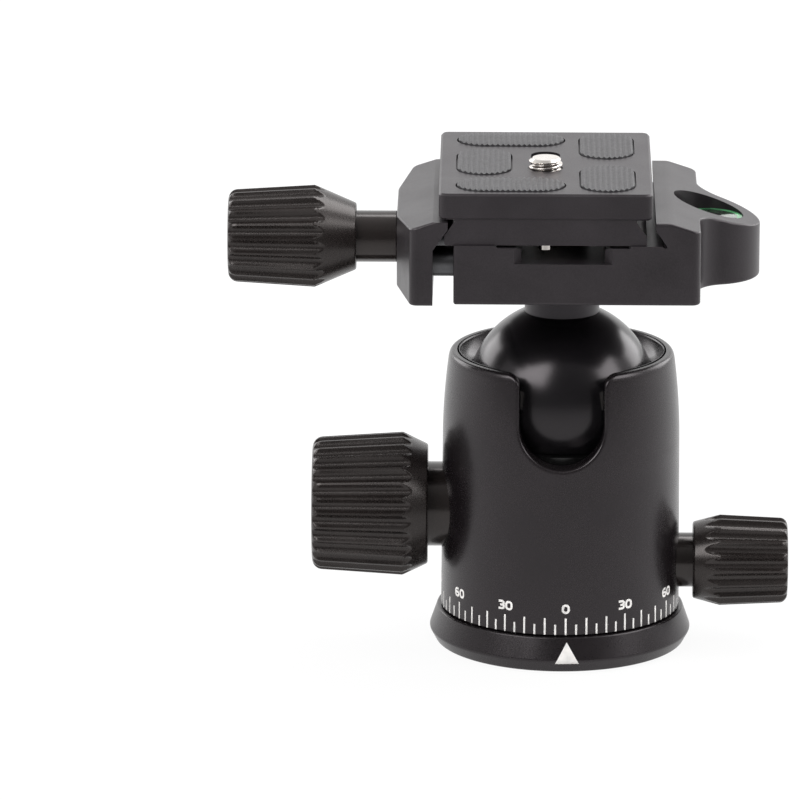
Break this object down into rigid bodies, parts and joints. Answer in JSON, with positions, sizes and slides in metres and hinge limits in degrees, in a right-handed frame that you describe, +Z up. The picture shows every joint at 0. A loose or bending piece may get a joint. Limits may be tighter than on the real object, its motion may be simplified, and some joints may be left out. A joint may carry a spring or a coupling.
{
  "type": "tripod ball head",
  "caption": "Tripod ball head: coned base, panning housing with drop notch, ball, neck and dovetail clamp with bubble level, fluted knobs and a quick-release plate with camera screw.",
  "frame": {"origin": "on the panning axis at the underside of the base, at the mouth of the tripod thread", "axes": "+Z up along the panning axis; the housing's notch faces -Y, the ball lock knob -X, the panning knob +X"},
  "size_m": [0.1069, 0.051, 0.0955],
  "materials": {
    "base_black": "satin black anodised",
    "housing_black": "satin black anodised, white laser scale",
    "ball_black": "hard anodised, fine turned",
    "collar_grey": "turned, grey anodised",
    "clamp_black": "satin black anodised",
    "knob_black": "satin black anodised, fluted",
    "plate_black": "matte black anodised",
    "pad_rubber": "ribbed rubber",
    "steel_bright": "bright nickel plated steel",
    "steel_dark": "steel",
    "brass": "machined brass",
    "nylon": "natural nylon",
    "seat_black": "black acetal",
    "level_cup": "moulded cup with a white ring",
    "level_glass": "clear vial with green fluid"
  },
  "bodies": {
    "base": {"base_plate": "base_black", "thread_bushing": "steel_bright", "glide_washer": "nylon", "thrust_washer": "steel_dark", "retaining_ring": "steel_dark"},
    "housing": {"housing": "housing_black", "upper_liner": "nylon", "support_disc": "steel_dark", "pan_bush": "nylon", "lock_insert": "brass", "pan_insert": "brass"},
    "plunger": {"lock_plunger": "steel_dark"},
    "lock_knob": {"lock_knob": "knob_black", "lock_screw": "steel_dark"},
    "lift_wedge": {"lift_wedge": "steel_dark", "disc_spring": "steel_dark"},
    "ball_seat": {"ball_seat": "seat_black"},
    "stem_bolt": {"stem_bolt": "steel_dark"},
    "head": {"ball": "ball_black", "neck_collar": "collar_grey", "clamp_body": "clamp_black", "clamp_insert": "steel_dark", "level_cup": "level_cup", "level_vial": "level_glass", "jaw_springs": "steel_dark"},
    "brake_shoe": {"brake_shoe": "brass"},
    "pan_knob": {"pan_knob": "knob_black", "pan_screw": "steel_dark"},
    "jaw": {"moving_jaw": "clamp_black", "guide_pins": "steel_dark"},
    "clamp_knob": {"clamp_knob": "knob_black", "clamp_sleeve": "knob_black", "clamp_screw": "steel_dark"},
    "plate": {"plate": "plate_black", "rubber_pads": "pad_rubber", "stop_pins": "steel_bright"},
    "screw_washer": {"screw_washer": "steel_dark"},
    "camera_screw": {"camera_screw": "steel_bright"}
  },
  "joints": [
    {"name": "pan", "type": "hinge", "parent": "base", "child": "housing", "pos_m": [0, 0, 0.0154], "axis": [0, 0, 1], "continuous": true},
    {"name": "lock_advance", "type": "slide", "parent": "housing", "child": "plunger", "axis": [1, 0, 0], "range_m": [-0.00187, 0]},
    {"name": "lock_knob_turn", "type": "hinge", "parent": "plunger", "child": "lock_knob", "pos_m": [-0.03, 0, 0.0263], "axis": [1, 0, 0], "range_deg": [-540.1, 0.1]},
    {"name": "seat_lift", "type": "slide", "parent": "housing", "child": "lift_wedge", "axis": [0, 0, 1], "range_m": [-0.0003987, 0]},
    {"name": "tilt_direction", "type": "hinge", "parent": "housing", "child": "ball_seat", "pos_m": [0, 0, 0.0482], "axis": [0, 0, 1], "range_deg": [-180, 0]},
    {"name": "tilt", "type": "hinge", "parent": "ball_seat", "child": "stem_bolt", "pos_m": [0, 0, 0.0482], "axis": [1, 0, 0], "range_deg": [-45, 90]},
    {"name": "head_spin", "type": "hinge", "parent": "stem_bolt", "child": "head", "pos_m": [0, 0, 0.0482], "axis": [0, 0, 1], "continuous": true},
    {"name": "pan_lock_advance", "type": "slide", "parent": "housing", "child": "brake_shoe", "axis": [-1, 0, 0], "range_m": [-0.001, 0]},
    {"name": "pan_knob_turn", "type": "hinge", "parent": "brake_shoe", "child": "pan_knob", "pos_m": [0.03, 0, 0.0154], "axis": [-1, 0, 0], "range_deg": [-360.1, 0.1]},
    {"name": "jaw_slide", "type": "slide", "parent": "head", "child": "jaw", "axis": [1, 0, 0], "range_m": [-0.0012, 0.0024], "deforming": ["jaw_springs"]},
    {"name": "clamp_knob_turn", "type": "hinge", "parent": "jaw", "child": "clamp_knob", "pos_m": [-0.045, 0, 0.079], "axis": [1, 0, 0], "range_deg": [-432.1, 864.1]},
    {"name": "plate_slide", "type": "slide", "parent": "jaw", "child": "plate", "axis": [0, 1, 0], "range_m": [-0.0145, 0.0145]},
    {"name": "screw_rise", "type": "slide", "parent": "plate", "child": "screw_washer", "axis": [0, 0, 1], "range_m": [-0.0009, 0.00285]},
    {"name": "camera_screw_turn", "type": "hinge", "parent": "screw_washer", "child": "camera_screw", "pos_m": [-0.0033, -0.004, 0.09], "axis": [0, 0, 1], "range_deg": [-255.2, 808]}
  ],
  "couplings": [
    {"joint": "lock_knob_turn", "follows": "lock_advance", "rad_per_m": 5026.5},
    {"joint": "seat_lift", "follows": "lock_advance", "ratio": 0.21256},
    {"joint": "pan_knob_turn", "follows": "pan_lock_advance", "rad_per_m": 6283.2},
    {"joint": "clamp_knob_turn", "follows": "jaw_slide", "rad_per_m": 6283.2},
    {"joint": "camera_screw_turn", "follows": "screw_rise", "rad_per_m": 4947.4}
  ]
}
